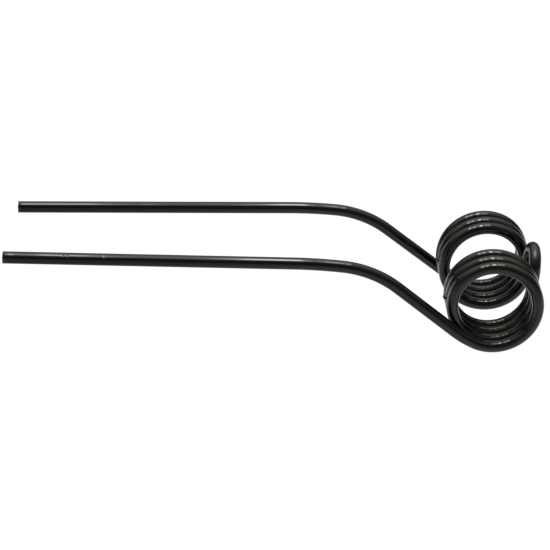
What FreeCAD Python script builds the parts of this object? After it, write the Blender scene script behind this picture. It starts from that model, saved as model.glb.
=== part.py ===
import FreeCAD, Part
import math
import os

from FreeCAD import Vector

# Double spring tine of a hay rake, bent from one length of round spring wire.
# Both legs reach along -X, the two coils share an axis along Y, and a hairpin
# loop on the +X side joins them. The origin is on the coil axis, midway between
# the coils. Sizes are in millimetres and degrees.

# Wire
WIRE_D = 9.5
TIP_CHAMFER = 0.9

# Coils
COIL_BORE_D = 57.0
TURN_GAP = 1.8
FULL_TURNS = 3

# Hairpin loop between the coils
LOOP_CENTRES = 32.0
LOOP_HEIGHT = 29.0
LOOP_LEAN = 3.2

# Legs: the coil opens out into the slope, and the knee eases into a slight bow
RUN_OUT_ANGLE = 12.0
RUN_OUT_LENGTH = 19.2
LEG_SLOPE = 38.3
SLOPE_LENGTH = 60.0
KNEE_RADIUS = 83.0
BOW_ANGLE = 5.4
BOW_RADIUS = 400.0
LEG_LENGTH = 222.3

# The second leg has taken a little set, and lies lower than the first
SECOND_LEG_DROP = 1.2

# The coils are wound in arcs of about this angle, each tangent to the next
ARC_ANGLE = 60.0

# Values that follow from the ones above
wire_r = WIRE_D / 2
coil_r = COIL_BORE_D / 2 + wire_r
pitch = WIRE_D + TURN_GAP
end_deg = 360.0 * FULL_TURNS - LOOP_LEAN
half_gap = LOOP_CENTRES / 2


def straight(point, direction, length):
    """A straight run of wire. Gives the solid and the point where it ends."""
    solid = Part.makeCylinder(wire_r, length, point, direction)
    return solid, point + direction * length


def bend(point, start_dir, finish_dir, radius):
    """A bend between two directions, as part of a torus, and its end point."""
    normal = start_dir.cross(finish_dir).normalize()
    centre = point + normal.cross(start_dir) * radius
    edge = Part.Circle(point, start_dir, wire_r).toShape()
    section = Part.Face(Part.Wire(edge))
    angle = math.degrees(start_dir.getAngle(finish_dir))
    solid = section.revolve(centre, normal, angle)
    return solid, centre - normal.cross(finish_dir) * radius


def winding():
    """One coil, from its leg to the loop. Gives its arcs, and the point and
    direction of the wire at each end."""
    sweep = end_deg + 90.0 + LEG_SLOPE - RUN_OUT_ANGLE
    count = math.ceil(sweep / ARC_ANGLE)
    step = sweep / count
    corner_r = coil_r / math.cos(math.radians(step / 2))
    corners = []
    for i in range(count + 2):
        from_end = (i - 0.5) * step - sweep
        a = math.radians(end_deg + from_end)
        y = -half_gap + pitch * from_end / 360.0
        corners.append(Vector(corner_r * math.cos(a), y, corner_r * math.sin(a)))
    runs = [b - a for a, b in zip(corners, corners[1:])]
    dirs = [Vector(run).normalize() for run in runs]
    turn = dirs[0].getAngle(dirs[1])
    radius = runs[0].Length / 2 / math.tan(turn / 2)

    start = (corners[0] + corners[1]) * 0.5
    point = start
    arcs = []
    for before, after in zip(dirs, dirs[1:]):
        arc, point = bend(point, before, after, radius)
        arcs.append(arc)
    return arcs, (start, dirs[0]), (point, dirs[-1])


def leg_dir(rise_deg):
    """The direction out along a leg, rising by this angle."""
    rise = math.radians(rise_deg)
    return Vector(-math.cos(rise), 0, math.sin(rise))


def leg(slope_deg, coil_start):
    """One leg on the -Y side, followed from the coil out to its cut tip."""
    point, coil_dir = coil_start
    leaving = coil_dir * -1
    tilt_deg = slope_deg - LEG_SLOPE
    up_slope = leg_dir(slope_deg)
    into_bow = leg_dir(tilt_deg + BOW_ANGLE)
    outward = leg_dir(tilt_deg)
    run_out_radius = RUN_OUT_LENGTH / leaving.getAngle(up_slope)
    run_out, point = bend(point, leaving, up_slope, run_out_radius)
    slope_run, point = straight(point, up_slope, SLOPE_LENGTH)
    knee, point = bend(point, up_slope, into_bow, KNEE_RADIUS)
    bow, point = bend(point, into_bow, outward, BOW_RADIUS)
    shank, point = straight(point, outward, LEG_LENGTH - TIP_CHAMFER)
    tip_r = wire_r - TIP_CHAMFER
    tip = Part.makeCone(wire_r, tip_r, TIP_CHAMFER, point, outward)
    return [run_out, slope_run, knee, bow, shank, tip]


def hairpin(coil_end):
    """The loop that joins the coils, from the -Y side to the +Y side."""
    start, up = coil_end
    down = Vector(-up.x, up.y, -up.z)
    lean_in = up.y
    rise = math.sqrt(1 - lean_in**2)
    arc_share = (1 - lean_in) / rise
    run = (LOOP_HEIGHT - half_gap * arc_share) / (rise - lean_in * arc_share)
    arc_radius = (half_gap - run * lean_in) / rise
    side, arc_start = straight(start, up, run)
    arc, arc_end = bend(arc_start, up, down, arc_radius)
    return [side, arc, across(side)]


def across(solid):
    """The same piece of wire on the other side of the middle plane."""
    return solid.mirror(Vector(0, 0, 0), Vector(0, 1, 0))


coil, coil_start, coil_end = winding()
first_leg = leg(LEG_SLOPE, coil_start)
second_leg = leg(LEG_SLOPE - SECOND_LEG_DROP, coil_start)

runs = first_leg + coil + hairpin(coil_end)
runs += [across(solid) for solid in coil + second_leg]

tine = runs[0].fuse(runs[1:]).removeSplitter()
if tine.ShapeType != "Solid":
    tine = tine.Solids[0]

os.makedirs("parts", exist_ok=True)
tine.exportStep("parts/spring_tine.step")

box = tine.BoundBox
total = sum(solid.Volume for solid in runs)
print("valid", tine.isValid(), "faces", len(tine.Faces))
print("volume", round(tine.Volume, 1), "sum of runs", round(total, 1))
print("x", round(box.XMin, 2), round(box.XMax, 2))
print("y", round(box.YMin, 2), round(box.YMax, 2))
print("z", round(box.ZMin, 2), round(box.ZMax, 2))
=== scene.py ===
import math

import bpy
from mathutils import Matrix, Vector


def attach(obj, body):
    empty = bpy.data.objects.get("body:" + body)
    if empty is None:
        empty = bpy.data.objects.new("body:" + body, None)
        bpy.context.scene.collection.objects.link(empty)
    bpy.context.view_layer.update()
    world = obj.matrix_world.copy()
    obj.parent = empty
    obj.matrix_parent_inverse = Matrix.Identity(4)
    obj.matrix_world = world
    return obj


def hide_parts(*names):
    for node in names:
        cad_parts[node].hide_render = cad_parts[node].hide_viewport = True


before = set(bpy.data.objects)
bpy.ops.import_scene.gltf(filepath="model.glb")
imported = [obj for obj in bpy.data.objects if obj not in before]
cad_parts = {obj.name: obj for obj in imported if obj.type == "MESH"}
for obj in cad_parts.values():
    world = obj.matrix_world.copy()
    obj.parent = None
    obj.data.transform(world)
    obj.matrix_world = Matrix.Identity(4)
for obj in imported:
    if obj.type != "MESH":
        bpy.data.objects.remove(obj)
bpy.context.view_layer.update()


# ---------------------------------------------------------------- The spring wire
# A double rake tine is one length of round, oil-hardened spring steel wire, cold bent: a hairpin
# loop in the middle, a coil wound outwards from each of its ends, and two straight legs with
# cropped tips. It is clamped by the loop, so it hangs free here, with the coils' axis along Y.


def add(tree, kind, inputs=None, **settings):
    """Adds one node, with its settings, and links or sets its inputs. Gives its outputs."""
    made = tree.nodes.new(kind)
    for name, value in settings.items():
        setattr(made, name, value)
    for name, value in (inputs or {}).items():
        if isinstance(value, bpy.types.NodeSocket):
            tree.links.new(value, made.inputs[name])
        else:
            made.inputs[name].default_value = value
    return made.outputs


wire_d = 0.0095
wire_sides = 44
tip_bevel = 0.0009
coil_r = 0.057 / 2 + wire_d / 2
turn_pitch = 0.0113
loop_half = 0.032 / 2
loop_height = 0.029
loop_lean = math.radians(3.2)
run_out = math.radians(12.0)
leg_slope = math.radians(38.3)
bow = math.radians(5.4)
second_leg_set = math.radians(1.2)

coil_angle = math.radians(1080.0) - loop_lean + math.radians(90.0) + leg_slope - run_out
coil_lead = math.atan(turn_pitch / (2 * math.pi * coil_r))
arc_share = (1 - math.sin(coil_lead)) / math.cos(coil_lead)
loop_side = (loop_height - loop_half * arc_share) / (
    math.cos(coil_lead) - math.sin(coil_lead) * arc_share)
crown_r = (loop_half - loop_side * math.sin(coil_lead)) / math.cos(coil_lead)
loop_top = Vector((
    coil_r * math.cos(loop_lean) + loop_height * math.sin(loop_lean),
    0.0,
    -coil_r * math.sin(loop_lean) + loop_height * math.cos(loop_lean),
))

# The bends in the order the wire is fed, from the middle of the loop out to a tip: the length of
# wire, how far it turns in the coils' plane, how far it lays over out of the axis, and its steps.
bends = [
    ("Loop crown", crown_r * (math.pi / 2 - coil_lead), 0.0, math.pi / 2 - coil_lead, 24),
    ("Loop side", loop_side, 0.0, 0.0, 5),
    ("Coil", coil_r * coil_angle / math.cos(coil_lead), -coil_angle, 0.0, 420),
    ("Run-out", 0.0192, -run_out, coil_lead, 10),
    ("Slope", 0.060, 0.0, 0.0, 14),
    ("Knee", 0.083 * (leg_slope - bow), leg_slope - bow, 0.0, 24),
    ("Bow", 0.400 * bow, bow, 0.0, 12),
    ("Shank", 0.2223 - tip_bevel, 0.0, 0.0, 60),
    ("Tip bevel", tip_bevel, 0.0, 0.0, 5),
]
steps_each_way = sum(row[4] for row in bends)

wire_tree = bpy.data.node_groups.new("bend_spring_wire", "GeometryNodeTree")
wire_tree.interface.new_socket("Geometry", in_out="OUTPUT", socket_type="NodeSocketGeometry")
sizes = {
    "Wire diameter": wire_d,
    "Loop heading": loop_lean * -1 - math.pi / 2,
    "Second leg set": second_leg_set,
    "Loop top X": loop_top.x,
    "Loop top Z": loop_top.z,
}
for bend_name, length, turn, lay, steps in bends:
    sizes[bend_name + " length"] = length
    if turn:
        sizes[bend_name + " turn"] = turn
    if lay:
        sizes[bend_name + " lay"] = lay
for size_name in sizes:
    wire_tree.interface.new_socket(size_name, in_out="INPUT", socket_type="NodeSocketFloat")
given = add(wire_tree, "NodeGroupInput")

# How many steps each point of the wire is from the middle of the loop, and on which side
index = add(wire_tree, "GeometryNodeInputIndex")[0]
from_middle = add(wire_tree, "ShaderNodeMath", {0: index, 1: float(steps_each_way)},
                  operation="SUBTRACT")[0]
steps_out = add(wire_tree, "ShaderNodeMath", {0: from_middle}, operation="ABSOLUTE")[0]
half_on = add(wire_tree, "ShaderNodeMath", {0: from_middle, 1: 0.5}, operation="ADD")[0]
side = add(wire_tree, "ShaderNodeMath", {0: half_on}, operation="SIGN")[0]
second = add(wire_tree, "ShaderNodeMath", {0: half_on, 1: 0.0}, operation="GREATER_THAN")[0]

# Each bend adds its share of length, turn and lay-over to the points that lie past its start
fed, heading, lay_over = 0.0, given["Loop heading"], math.pi / 2
start_step = 0
for bend_name, length, turn, lay, steps in bends:
    share = add(wire_tree, "ShaderNodeMapRange", {
        "Value": steps_out, "From Min": float(start_step), "From Max": float(start_step + steps),
    }, clamp=True)[0]
    fed = add(wire_tree, "ShaderNodeMath", {0: share, 1: given[bend_name + " length"], 2: fed},
              operation="MULTIPLY_ADD")[0]
    if turn:
        heading = add(wire_tree, "ShaderNodeMath", {0: share, 1: given[bend_name + " turn"], 2: heading},
                      operation="MULTIPLY_ADD")[0]
    if lay:
        less = add(wire_tree, "ShaderNodeMath", {0: share, 1: given[bend_name + " lay"]},
                   operation="MULTIPLY")[0]
        lay_over = add(wire_tree, "ShaderNodeMath", {0: lay_over, 1: less}, operation="SUBTRACT")[0]
    if bend_name == "Run-out":
        more = add(wire_tree, "ShaderNodeMath", {0: second, 1: given["Second leg set"]},
                   operation="MULTIPLY")[0]
        heading = add(wire_tree, "ShaderNodeMath", {0: share, 1: more, 2: heading},
                      operation="MULTIPLY_ADD")[0]
    start_step += steps
tip_share = share

# The wire's middle line: the steps between neighbouring points, each in its own direction, added up
here = add(wire_tree, "ShaderNodeCombineXYZ", {"X": fed, "Y": heading, "Z": lay_over})[0]
next_index = add(wire_tree, "ShaderNodeMath", {0: index, 1: 1.0}, operation="ADD")[0]
there = add(wire_tree, "GeometryNodeFieldAtIndex", {"Index": next_index, "Value": here},
            data_type="FLOAT_VECTOR", domain="POINT")[0]
middle = add(wire_tree, "ShaderNodeMix", {4: here, 5: there, 0: 0.5}, data_type="VECTOR")[1]
change = add(wire_tree, "ShaderNodeVectorMath", {0: there, 1: here}, operation="SUBTRACT")[0]
angles = add(wire_tree, "ShaderNodeSeparateXYZ", {0: middle})
step_run = add(wire_tree, "ShaderNodeSeparateXYZ", {0: change})["X"]
step_run = add(wire_tree, "ShaderNodeMath", {0: step_run}, operation="ABSOLUTE")[0]
flat = add(wire_tree, "ShaderNodeMath", {0: angles["Z"]}, operation="COSINE")[0]
flat = add(wire_tree, "ShaderNodeMath", {0: flat, 1: side}, operation="MULTIPLY")[0]
cos_h = add(wire_tree, "ShaderNodeMath", {0: angles["Y"]}, operation="COSINE")[0]
sin_h = add(wire_tree, "ShaderNodeMath", {0: angles["Y"]}, operation="SINE")[0]
way = add(wire_tree, "ShaderNodeCombineXYZ", {
    "X": add(wire_tree, "ShaderNodeMath", {0: cos_h, 1: flat}, operation="MULTIPLY")[0],
    "Y": add(wire_tree, "ShaderNodeMath", {0: angles["Z"]}, operation="SINE")[0],
    "Z": add(wire_tree, "ShaderNodeMath", {0: sin_h, 1: flat}, operation="MULTIPLY")[0],
})[0]
step = add(wire_tree, "ShaderNodeVectorMath", {0: way, "Scale": step_run}, operation="SCALE")[0]
summed = add(wire_tree, "GeometryNodeAccumulateField", {0: step},
             data_type="FLOAT_VECTOR", domain="POINT")["Trailing"]
at_middle = add(wire_tree, "GeometryNodeFieldAtIndex", {"Index": steps_each_way, "Value": summed},
                data_type="FLOAT_VECTOR", domain="POINT")[0]
loop_point = add(wire_tree, "ShaderNodeCombineXYZ", {
    "X": given["Loop top X"], "Z": given["Loop top Z"],
})[0]
place = add(wire_tree, "ShaderNodeVectorMath", {0: summed, 1: at_middle}, operation="SUBTRACT")[0]
place = add(wire_tree, "ShaderNodeVectorMath", {0: place, 1: loop_point}, operation="ADD")[0]

line = add(wire_tree, "GeometryNodeMeshLine", {"Count": 2 * steps_each_way + 1})[0]
signed_fed = add(wire_tree, "ShaderNodeMath", {0: fed, 1: side}, operation="MULTIPLY")[0]
for kept_name, kept_value in (("fed", signed_fed), ("tip", tip_share)):
    line = add(wire_tree, "GeometryNodeStoreNamedAttribute", {
        "Geometry": line, "Name": kept_name, "Value": kept_value,
    }, data_type="FLOAT", domain="POINT")[0]
line = add(wire_tree, "GeometryNodeSetPosition", {"Geometry": line, "Position": place})[0]
centre_line = add(wire_tree, "GeometryNodeMeshToCurve", {"Mesh": line})[0]

# The round section, rolled over to a small bevel at the cropped tips
tip = add(wire_tree, "GeometryNodeInputNamedAttribute", {"Name": "tip"}, data_type="FLOAT")["Attribute"]
rolled = add(wire_tree, "ShaderNodeMath", {0: tip, 1: tip}, operation="MULTIPLY")[0]
rolled = add(wire_tree, "ShaderNodeMath", {0: 1.0, 1: rolled}, operation="SUBTRACT")[0]
rolled = add(wire_tree, "ShaderNodeMath", {0: rolled}, operation="SQRT")[0]
bevel_ratio = tip_bevel / (wire_d / 2)
rolled = add(wire_tree, "ShaderNodeMath", {0: rolled, 1: bevel_ratio, 2: 1.0 - bevel_ratio},
             operation="MULTIPLY_ADD")[0]
centre_line = add(wire_tree, "GeometryNodeSetCurveRadius", {"Curve": centre_line, "Radius": rolled})[0]
wire_r = add(wire_tree, "ShaderNodeMath", {0: given["Wire diameter"], 1: 0.5}, operation="MULTIPLY")[0]
section = add(wire_tree, "GeometryNodeCurvePrimitiveCircle", {
    "Resolution": wire_sides, "Radius": wire_r,
})[0]
section = add(wire_tree, "GeometryNodeStoreNamedAttribute", {
    "Geometry": section, "Name": "section", "Value": add(wire_tree, "GeometryNodeInputPosition")[0],
}, data_type="FLOAT_VECTOR", domain="POINT")[0]
swept = add(wire_tree, "GeometryNodeCurveToMesh", {
    "Curve": centre_line, "Profile Curve": section, "Fill Caps": True,
})[0]

# Keeps, for the enamel, where each point lies along and round the wire
fed_again = add(wire_tree, "GeometryNodeInputNamedAttribute", {"Name": "fed"},
                data_type="FLOAT")["Attribute"]
round_wire = add(wire_tree, "GeometryNodeInputNamedAttribute", {"Name": "section"},
                 data_type="FLOAT_VECTOR")["Attribute"]
round_wire = add(wire_tree, "ShaderNodeSeparateXYZ", {0: round_wire})
along_wire = add(wire_tree, "ShaderNodeCombineXYZ", {
    "X": fed_again, "Y": round_wire["X"], "Z": round_wire["Y"],
})[0]
swept = add(wire_tree, "GeometryNodeStoreNamedAttribute", {
    "Geometry": swept, "Name": "along_wire", "Value": along_wire,
}, data_type="FLOAT_VECTOR", domain="POINT")[0]

# The round side is smooth, and the two cropped ends, the only faces of more than four corners, are flat
corners = add(wire_tree, "GeometryNodeInputMeshFaceNeighbors")["Vertex Count"]
side_face = add(wire_tree, "ShaderNodeMath", {0: corners, 1: 4.5}, operation="LESS_THAN")[0]
swept = add(wire_tree, "GeometryNodeSetShadeSmooth", {"Geometry": swept, "Shade Smooth": side_face},
            domain="FACE")[0]
swept = add(wire_tree, "GeometryNodeRealizeInstances", {"Geometry": swept})[0]


def linear(hex_colour):
    """An sRGB hex colour as linear red, green, blue and alpha."""
    parts = [int(hex_colour[i:i + 2], 16) / 255 for i in (1, 3, 5)]
    return [p / 12.92 if p <= 0.04045 else ((p + 0.055) / 1.055) ** 2.4 for p in parts] + [1.0]


# Black stoving enamel, dipped and baked over the drawn wire: a deep black under a full gloss. The eye
# finds faint orange peel, the wire's draw lines, dust nibs, duller smears and thin paint at the tips.
# Its relief is added up in millimetres.
enamel = bpy.data.materials.new("black_stoving_enamel")
enamel.use_nodes = True
enamel.node_tree.nodes.clear()
paint = enamel.node_tree
along = add(paint, "ShaderNodeAttribute", attribute_name="along_wire", attribute_type="GEOMETRY")["Vector"]

# Orange peel in cells of about 2.5 mm, a few thousandths of a millimetre deep
peel = add(paint, "ShaderNodeTexNoise", {"Vector": along, "Scale": 400.0, "Detail": 1.0})["Fac"]
relief = add(paint, "ShaderNodeMath", {0: peel, 1: 0.006}, operation="MULTIPLY")[0]

# Draw lines run along the wire. Real ones are finer than 0.1 mm, so they are drawn 1.2 mm apart
stretched = add(paint, "ShaderNodeVectorMath", {0: along, 1: (0.02, 1.0, 1.0)}, operation="MULTIPLY")[0]
drawn = add(paint, "ShaderNodeTexNoise", {"Vector": stretched, "Scale": 830.0, "Detail": 1.0})["Fac"]
relief = add(paint, "ShaderNodeMath", {0: drawn, 1: 0.002, 2: relief}, operation="MULTIPLY_ADD")[0]

# Dust nibs, 1.2 mm across and about one to every 30 mm of wire
dust = add(paint, "ShaderNodeTexVoronoi", {"Vector": along, "Scale": 90.0})["Distance"]
nib = add(paint, "ShaderNodeMapRange", {
    "Value": dust, "From Min": 0.055, "From Max": 0.0, "To Min": 0.0, "To Max": 0.05,
}, interpolation_type="SMOOTHSTEP")[0]
relief = add(paint, "ShaderNodeMath", {0: relief, 1: nib}, operation="ADD")[0]

# Three small dents in the first leg's enamel, 45 to 80 mm from its tip
on_tine = add(paint, "ShaderNodeTexCoord")["Object"]
dents = [(-0.3352, 0.0011), (-0.3318, 0.0012), (-0.3042, 0.0013)]
dents_y, dents_z, dent_depth = -0.0565, 0.0409, 0.22
for dent_x, dent_r in dents:
    away = add(paint, "ShaderNodeVectorMath", {0: on_tine, 1: (dent_x, dents_y, dents_z)},
               operation="DISTANCE")["Value"]
    dent = add(paint, "ShaderNodeMapRange", {
        "Value": away, "From Min": 0.0, "From Max": dent_r, "To Min": -dent_depth, "To Max": 0.0,
    }, interpolation_type="SMOOTHSTEP")[0]
    relief = add(paint, "ShaderNodeMath", {0: relief, 1: dent}, operation="ADD")[0]

# A fat edge: the enamel thickens by 0.12 mm on its way to each cropped tip, and thins again over the
# last 3 mm, where it drew back from the edge
wire_half = sum(row[1] for row in bends)
signed_length = add(paint, "ShaderNodeSeparateXYZ", {0: along})["X"]
length_out = add(paint, "ShaderNodeMath", {0: signed_length}, operation="ABSOLUTE")[0]
fat_edge = add(paint, "ShaderNodeMapRange", {
    "Value": length_out, "From Min": wire_half - 0.0095, "From Max": wire_half - 0.0035,
    "To Min": 0.0, "To Max": 0.12,
}, interpolation_type="SMOOTHSTEP")[0]
relief = add(paint, "ShaderNodeMath", {0: relief, 1: fat_edge}, operation="ADD")[0]
drawn_back = add(paint, "ShaderNodeMapRange", {
    "Value": length_out, "From Min": wire_half - 0.0032, "From Max": wire_half,
    "To Min": 0.0, "To Max": -0.30,
}, interpolation_type="SMOOTHSTEP")[0]
relief = add(paint, "ShaderNodeMath", {0: relief, 1: drawn_back}, operation="ADD")[0]

# Neither leg is dead straight. The first nods down by half a millimetre towards its tip, and the
# second lifts by a little over one, which shifts the lamps' reflections along them
nod = add(paint, "ShaderNodeMapRange", {
    "Value": signed_length, "From Min": -(wire_half - 0.040), "From Max": -(wire_half + 0.010),
    "To Min": 0.0, "To Max": -0.8,
}, interpolation_type="SMOOTHSTEP")[0]
lift = add(paint, "ShaderNodeMapRange", {
    "Value": signed_length, "From Min": wire_half - 0.100, "From Max": wire_half,
    "To Min": 0.0, "To Max": 1.25,
})[0]
relief = add(paint, "ShaderNodeMath", {0: relief, 1: nod}, operation="ADD")[0]
relief = add(paint, "ShaderNodeMath", {0: relief, 1: lift}, operation="ADD")[0]
relief = add(paint, "ShaderNodeBump", {"Height": relief, "Strength": 1.0, "Distance": 0.001})[0]

# Smears of 15 to 20 mm, where the gloss is a little duller and the black a little browner, and a
# softer gloss on the loop, which hung on the dipping hook
smear = add(paint, "ShaderNodeTexNoise", {"Vector": along, "Scale": 55.0, "Detail": 3.0})["Fac"]
dull = add(paint, "ShaderNodeMapRange", {
    "Value": smear, "From Min": 0.35, "From Max": 0.7, "To Min": 0.05, "To Max": 0.10,
})[0]
at_hook = add(paint, "ShaderNodeMapRange", {
    "Value": length_out, "From Min": 0.042, "From Max": 0.018, "To Min": 0.0, "To Max": 0.17,
}, interpolation_type="SMOOTHSTEP")[0]
dull = add(paint, "ShaderNodeMath", {0: dull, 1: at_hook}, operation="ADD")[0]

black = add(paint, "ShaderNodeMix", {
    0: add(paint, "ShaderNodeMapRange", {"Value": smear, "From Min": 0.35, "From Max": 0.7})[0],
    6: linear("#060606"), 7: linear("#0a0908"),
}, data_type="RGBA")[2]

# The last millimetres, where the enamel is thin over the cropped edge and grey steel grins through
at_tip = add(paint, "ShaderNodeMapRange", {
    "Value": length_out, "From Min": wire_half - 0.0020, "From Max": wire_half - 0.0002,
})[0]
chipped = add(paint, "ShaderNodeTexNoise", {"Vector": along, "Scale": 900.0, "Detail": 2.0})["Fac"]
chipped = add(paint, "ShaderNodeMapRange", {"Value": chipped, "From Min": 0.50, "From Max": 0.62})[0]
worn = add(paint, "ShaderNodeMath", {0: at_tip, 1: chipped}, operation="MULTIPLY")[0]
black = add(paint, "ShaderNodeMix", {0: worn, 6: black, 7: linear("#2e2c29")}, data_type="RGBA")[2]
dull = add(paint, "ShaderNodeMath", {0: worn, 1: 0.22, 2: dull}, operation="MULTIPLY_ADD")[0]
gloss = add(paint, "ShaderNodeBsdfPrincipled", {
    "Base Color": black, "Roughness": dull, "IOR": 1.5, "Normal": relief,
})[0]
add(paint, "ShaderNodeOutputMaterial", {"Surface": gloss})

swept = add(wire_tree, "GeometryNodeSetMaterial", {"Geometry": swept, "Material": enamel})[0]
add(wire_tree, "NodeGroupOutput", {0: swept})

bender = bpy.data.objects.new("bender", bpy.data.meshes.new("bender"))
bpy.context.scene.collection.objects.link(bender)
bending = bender.modifiers.new("bend", "NODES")
bending.node_group = wire_tree
for item in wire_tree.interface.items_tree:
    if item.in_out == "INPUT":
        bending[item.identifier] = sizes[item.name]
evaluated = bender.evaluated_get(bpy.context.evaluated_depsgraph_get())
wire = bpy.data.objects.new("spring_wire", bpy.data.meshes.new_from_object(evaluated))
bpy.context.scene.collection.objects.link(wire)
bender.modifiers.clear()
bpy.data.objects.remove(bender)
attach(wire, "root")
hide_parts("spring_tine")


# ---------------------------------------------------------------- The enamel drips
# The tine is dipped and baked hanging by its loop, so the last enamel runs to the lowest point of
# each coil and sets there as a small bead, across the groove beside the middle turn.
drips = [
    # name, where it hangs, how far it stands out, half its length along the axis, half its height
    ("first_coil_drip", Vector((-0.0374, -0.0345, 0.0008)), 0.0026, 0.0030, 0.0021),
    ("second_coil_drip", Vector((-0.0373, 0.0318, -0.0002)), 0.0014, 0.0027, 0.0022),
]
rings, around, spread_at_foot = 16, 32, 0.35
dried = bpy.data.materials.new("dried_enamel_drip")
dried.use_nodes = True
dried.node_tree.nodes.clear()
drip_paint = dried.node_tree

# The same enamel set thick: a skin that has shrunk into wrinkles about 0.8 mm apart, and dulled
drip_place = add(drip_paint, "ShaderNodeTexCoord")["Object"]
wrinkle = add(drip_paint, "ShaderNodeTexNoise", {"Vector": drip_place, "Scale": 1200.0, "Detail": 2.0,
                                                 "Distortion": 0.6})["Fac"]
wrinkle_bump = add(drip_paint, "ShaderNodeBump", {"Height": wrinkle, "Strength": 1.0, "Distance": 0.00006})[0]
skin_dull = add(drip_paint, "ShaderNodeMapRange", {"Value": wrinkle, "To Min": 0.12, "To Max": 0.26})[0]
skin_black = add(drip_paint, "ShaderNodeMix", {0: wrinkle, 6: linear("#050505"), 7: linear("#0b0a09")},
                 data_type="RGBA")[2]
skin = add(drip_paint, "ShaderNodeBsdfPrincipled", {
    "Base Color": skin_black, "Roughness": skin_dull, "IOR": 1.5, "Normal": wrinkle_bump,
})[0]
add(drip_paint, "ShaderNodeOutputMaterial", {"Surface": skin})

for drip_name, hangs_at, stands_out, half_along, half_high in drips:
    points, faces = [hangs_at + Vector((-stands_out, 0.0, 0.0))], []
    for ring in range(1, rings):
        down = math.pi * ring / rings
        flare = 1.0 + spread_at_foot * max(0.0, -math.cos(down)) ** 2
        for k in range(around):
            a = 2 * math.pi * k / around
            uneven = 1.0 + 0.07 * math.sin(2 * a + 0.8) + 0.05 * math.sin(3 * a + 2.1)
            out = math.sin(down) * flare * uneven
            points.append(hangs_at + Vector((
                -math.cos(down) * stands_out, out * half_along * math.cos(a), out * half_high * math.sin(a),
            )))
    points.append(hangs_at + Vector((stands_out, 0.0, 0.0)))
    last = len(points) - 1
    for k in range(around):
        following = (k + 1) % around
        faces.append((0, 1 + following, 1 + k))
        for ring in range(rings - 2):
            first = 1 + ring * around
            faces.append((first + k, first + following, first + around + following, first + around + k))
        faces.append((last, last - around + k, last - around + following))
    drip_mesh = bpy.data.meshes.new(drip_name)
    drip_mesh.from_pydata(points, [], faces)
    drip_mesh.shade_smooth()
    drip_mesh.materials.append(dried)
    drip = bpy.data.objects.new(drip_name, drip_mesh)
    bpy.context.scene.collection.objects.link(drip)
    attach(drip, "root")


# ---------------------------------------------------------------- The floor and the light
# The tine hangs well above a white sheet that glows as painted light, bright behind it and dimmer in front,
# with a painted shade before the legs, in a white tent of cloth lit from above and behind.
# The tent's front is open and dim. Five soft tubes lie across its ceiling, under a wide diffuser.
floor_z, sheet_half = -0.9, 14.0
sheet_corners = [(x * sheet_half, y * sheet_half, floor_z) for x, y in ((-1, -1), (1, -1), (1, 1), (-1, 1))]
floor_mesh = bpy.data.meshes.new("floor_sheet")
floor_mesh.from_pydata(sheet_corners, [], [(0, 1, 2, 3)])
floor = bpy.data.objects.new("floor_sheet", floor_mesh)
bpy.context.scene.collection.objects.link(floor)
sheet = bpy.data.materials.new("painted_glow_sheet")
sheet.use_nodes = True
sheet.node_tree.nodes.clear()
sheet_tree = sheet.node_tree


def sheet_glow(tree):
    """How brightly the sheet glows, as painted light: white behind the tine, dimmer in front, with a painted
    shade before the legs.
    """
    shade_x, behind_glow = -0.48, 1.06
    place = add(tree, "ShaderNodeSeparateXYZ", {0: add(tree, "ShaderNodeTexCoord")["Object"]})
    near_glow = add(tree, "ShaderNodeMapRange", {
        "Value": place["Y"], "From Min": -3.4, "From Max": -1.7, "To Min": 0.45, "To Max": 0.78,
    }, interpolation_type="SMOOTHSTEP")[0]
    from_shade = add(tree, "ShaderNodeMath", {0: place["X"], 1: shade_x}, operation="SUBTRACT")[0]
    from_shade = add(tree, "ShaderNodeMath", {0: from_shade}, operation="ABSOLUTE")[0]
    # A painted shade, like a soft shadow, which halves the sheet's glow before the legs
    shade = add(tree, "ShaderNodeMapRange", {
        "Value": from_shade, "From Min": 0.0, "From Max": 0.60, "To Min": 0.50, "To Max": 0.0,
    }, interpolation_type="SMOOTHSTEP")[0]
    shade_end = add(tree, "ShaderNodeMapRange", {
        "Value": place["Y"], "From Min": -3.9, "From Max": -2.7,
    }, interpolation_type="SMOOTHSTEP")[0]
    shade = add(tree, "ShaderNodeMath", {0: shade, 1: shade_end}, operation="MULTIPLY")[0]
    lit_share = add(tree, "ShaderNodeMath", {0: 1.0, 1: shade}, operation="SUBTRACT")[0]
    near_glow = add(tree, "ShaderNodeMath", {0: near_glow, 1: lit_share}, operation="MULTIPLY")[0]
    far_share = add(tree, "ShaderNodeMapRange", {
        "Value": place["Y"], "From Min": 0.0, "From Max": 0.8,
    }, interpolation_type="SMOOTHSTEP")[0]
    return add(tree, "ShaderNodeMix", {0: far_share, 2: near_glow, 3: behind_glow}, data_type="FLOAT")[0]


wall_r, out_of_light = 5.2, 0.38
sheet_colour = linear("#fbfffc")
# Far off, past the wall, the sheet's painted glow falls to a dim 0.38
way_off = add(sheet_tree, "ShaderNodeVectorMath", {0: add(sheet_tree, "ShaderNodeTexCoord")["Object"]},
              operation="LENGTH")["Value"]
way_off = add(sheet_tree, "ShaderNodeMapRange", {"Value": way_off, "From Min": wall_r, "From Max": 10.0},
              interpolation_type="SMOOTHSTEP")[0]
floor_glow = add(sheet_tree, "ShaderNodeMix", {0: way_off, 2: sheet_glow(sheet_tree), 3: out_of_light},
                 data_type="FLOAT")[0]
lit_sheet = add(sheet_tree, "ShaderNodeEmission", {"Color": sheet_colour, "Strength": floor_glow})[0]
add(sheet_tree, "ShaderNodeOutputMaterial", {"Surface": lit_sheet})
floor_mesh.materials.append(sheet)

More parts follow.
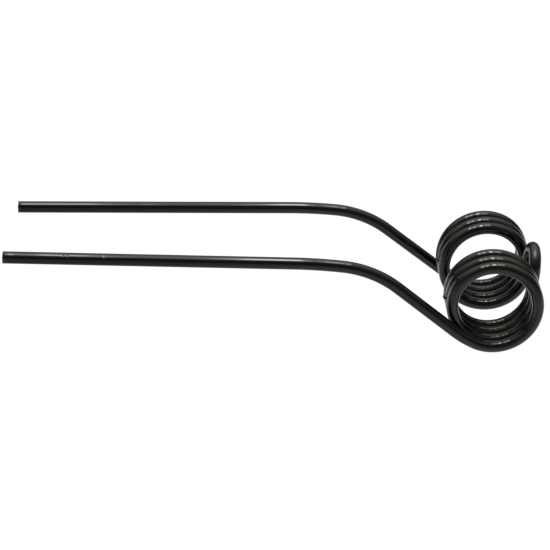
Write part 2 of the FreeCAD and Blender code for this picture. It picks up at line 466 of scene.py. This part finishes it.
# The sheet turns up all round, 5.2 m away, into a pale paper wall and roof. They only back the views
# from the side and from below, and take no part in the light.
tiers, wall_around, roof_reach = 20, 96, 0.995
foot_angle = math.asin(floor_z / wall_r)
wall_points, wall_faces = [], []
for tier in range(tiers + 1):
    rise = foot_angle + (math.pi / 2 - foot_angle) * roof_reach * tier / tiers
    for k in range(wall_around):
        a = 2 * math.pi * k / wall_around
        wall_points.append((
            wall_r * math.cos(rise) * math.cos(a),
            wall_r * math.cos(rise) * math.sin(a),
            wall_r * math.sin(rise),
        ))
for tier in range(tiers):
    for k in range(wall_around):
        low, following = tier * wall_around, (k + 1) % wall_around
        above = low + wall_around
        wall_faces.append((low + k, low + following, above + following, above + k))
wall_faces.append(tuple(range(tiers * wall_around, (tiers + 1) * wall_around)))
wall_mesh = bpy.data.meshes.new("paper_wall")
wall_mesh.from_pydata(wall_points, [], wall_faces)
wall_mesh.shade_smooth()
wall = bpy.data.objects.new("paper_wall", wall_mesh)
bpy.context.scene.collection.objects.link(wall)
wall.visible_diffuse = wall.visible_glossy = wall.visible_transmission = False
wall.visible_volume_scatter = wall.visible_shadow = False
paper = bpy.data.materials.new("pale_backdrop_paper")
paper.use_nodes = True
paper.node_tree.nodes.clear()
paper_tree = paper.node_tree
paper_place = add(paper_tree, "ShaderNodeTexCoord")["Object"]
paper_up = add(paper_tree, "ShaderNodeSeparateXYZ", {0: paper_place})["Z"]
paper_up = add(paper_tree, "ShaderNodeMapRange", {"Value": paper_up, "From Min": floor_z, "From Max": 0.9},
               interpolation_type="SMOOTHSTEP")[0]
# The paper glows as painted light: at its foot it copies the sheet's painted glow and shade, and it rises to
# an even glow above
paper_glow = add(paper_tree, "ShaderNodeMix", {0: paper_up, 2: sheet_glow(paper_tree), 3: 0.70},
                 data_type="FLOAT")[0]
lit_paper = add(paper_tree, "ShaderNodeEmission", {"Color": sheet_colour, "Strength": paper_glow})[0]
add(paper_tree, "ShaderNodeOutputMaterial", {"Surface": lit_paper})
wall_mesh.materials.append(paper)

# The tent's cloth glows overhead and behind, most of all over the tips, and its foot is a pale strip
tent = bpy.data.worlds.new("white_tent")
tent.use_nodes = True
tent.node_tree.nodes.clear()
tent_tree = tent.node_tree
way_seen = add(tent_tree, "ShaderNodeTexCoord")["Generated"]
seen = add(tent_tree, "ShaderNodeSeparateXYZ", {0: way_seen})
upper = add(tent_tree, "ShaderNodeMapRange", {
    "Value": seen["Z"], "From Min": 0.25, "From Max": 0.95, "To Min": 0.0, "To Max": 1.35,
}, interpolation_type="SMOOTHSTEP")[0]
behind = add(tent_tree, "ShaderNodeMapRange", {
    "Value": seen["Y"], "From Min": -0.75, "From Max": 1.0, "To Min": 0.0, "To Max": 1.0,
})[0]
tips_side = add(tent_tree, "ShaderNodeMapRange", {
    "Value": seen["X"], "From Min": -0.9, "From Max": -0.25, "To Min": 2.0, "To Max": 1.35,
}, interpolation_type="SMOOTHSTEP")[0]
cloth = add(tent_tree, "ShaderNodeMath", {0: upper, 1: behind}, operation="MULTIPLY")[0]
wall_foot = add(tent_tree, "ShaderNodeMapRange", {
    "Value": seen["Z"], "From Min": 0.0, "From Max": 0.18, "To Min": 0.36, "To Max": 0.12,
}, interpolation_type="SMOOTHSTEP")[0]
cloth = add(tent_tree, "ShaderNodeMath", {0: cloth, 1: tips_side, 2: wall_foot},
            operation="MULTIPLY_ADD")[0]
cloth_tint = add(tent_tree, "ShaderNodeMix", {
    0: add(tent_tree, "ShaderNodeMapRange", {"Value": seen["Z"], "From Min": 0.05, "From Max": 0.30})[0],
    6: linear("#fdffff"), 7: linear("#fdfff1"),
}, data_type="RGBA")[2]

# The tent's wall beyond the tips is lit too
side_wall = add(tent_tree, "ShaderNodeMapRange", {
    "Value": seen["X"], "From Min": -0.25, "From Max": -0.80, "To Min": 0.0, "To Max": 0.15,
}, interpolation_type="SMOOTHSTEP")[0]
above_foot = add(tent_tree, "ShaderNodeMapRange", {"Value": seen["Z"], "From Min": 0.05, "From Max": 0.45})[0]
cloth = add(tent_tree, "ShaderNodeMath", {0: side_wall, 1: above_foot, 2: cloth},
            operation="MULTIPLY_ADD")[0]
glow = add(tent_tree, "ShaderNodeBackground", {"Color": cloth_tint, "Strength": cloth})[0]
add(tent_tree, "ShaderNodeOutputWorld", {"Surface": glow})
bpy.context.scene.world = tent

ceiling_up = 2.1
hung_below = {"diffuser": 0.0, "tube_glow": 0.01, "tube": 0.02}
ceiling_lights = [
    # what it is, where it lies in X and Y, its width and depth, and how bright its face is
    ("diffuser", -0.275, 0.00, 1.65, 1.50, 1.3),
    ("tube", -0.93, -0.03, 0.16, 0.94, 6.4),
    ("tube", -0.575, -0.03, 0.155, 0.94, 5.8),
    ("tube", -0.11, -0.03, 0.17, 0.94, 10.2),
    ("tube", 0.23, -0.03, 0.16, 0.94, 2.5),
    ("tube", 0.45, -0.03, 0.16, 0.94, 2.0),
    ("tube_glow", -0.93, -0.10, 0.28, 1.15, 1.4),
    ("tube_glow", -0.57, -0.10, 0.28, 1.15, 1.4),
    ("tube_glow", -0.75, -0.03, 0.20, 0.94, 2.0),
    ("tube_glow", -0.11, -0.10, 0.30, 1.15, 2.2),
    ("tube_glow", 0.23, -0.10, 0.26, 1.15, 1.0),
    ("tube_glow", 0.45, -0.10, 0.26, 1.15, 0.8),
]
for light_name, x, y, wide, deep, brightness in ceiling_lights:
    lit = bpy.data.lights.new(light_name, "AREA")
    lit.shape = "RECTANGLE"
    lit.size, lit.size_y = wide, deep
    lit.energy = brightness * math.pi * wide * deep
    lamp = bpy.data.objects.new(light_name, lit)
    lamp.location = (x, y, ceiling_up - hung_below[light_name])
    lamp.visible_camera = False
    bpy.context.scene.collection.objects.link(lamp)


# ---------------------------------------------------------------- The camera
# A long lens 1.4 m away, looking down on the coils from the first leg's side.
target = Vector((-0.17181, 0.0, -0.00090))
distance = 1.4
sensor_mm, focal_px, picture_px = 36.0, 1739.957, 550.0
look = (Matrix.Rotation(math.radians(-1.449), 3, "Z") @ Matrix.Rotation(math.radians(-27.065), 3, "X")
        @ Matrix.Rotation(math.radians(-1.860), 3, "Y"))
right, ahead, up = look.col[0], look.col[1], look.col[2]
camera = bpy.data.objects.new("camera", bpy.data.cameras.new("camera"))
camera.data.sensor_width = sensor_mm
camera.data.lens = focal_px * sensor_mm / picture_px
camera.data.clip_start = 0.05
camera.data.clip_end = 60.0
camera.matrix_world = Matrix.Translation(target - ahead * distance) @ Matrix((
    (right.x, up.x, -ahead.x), (right.y, up.y, -ahead.y), (right.z, up.z, -ahead.z),
)).to_4x4()
bpy.context.scene.collection.objects.link(camera)
bpy.context.scene.camera = camera
bpy.context.scene.view_settings.view_transform = "Standard"
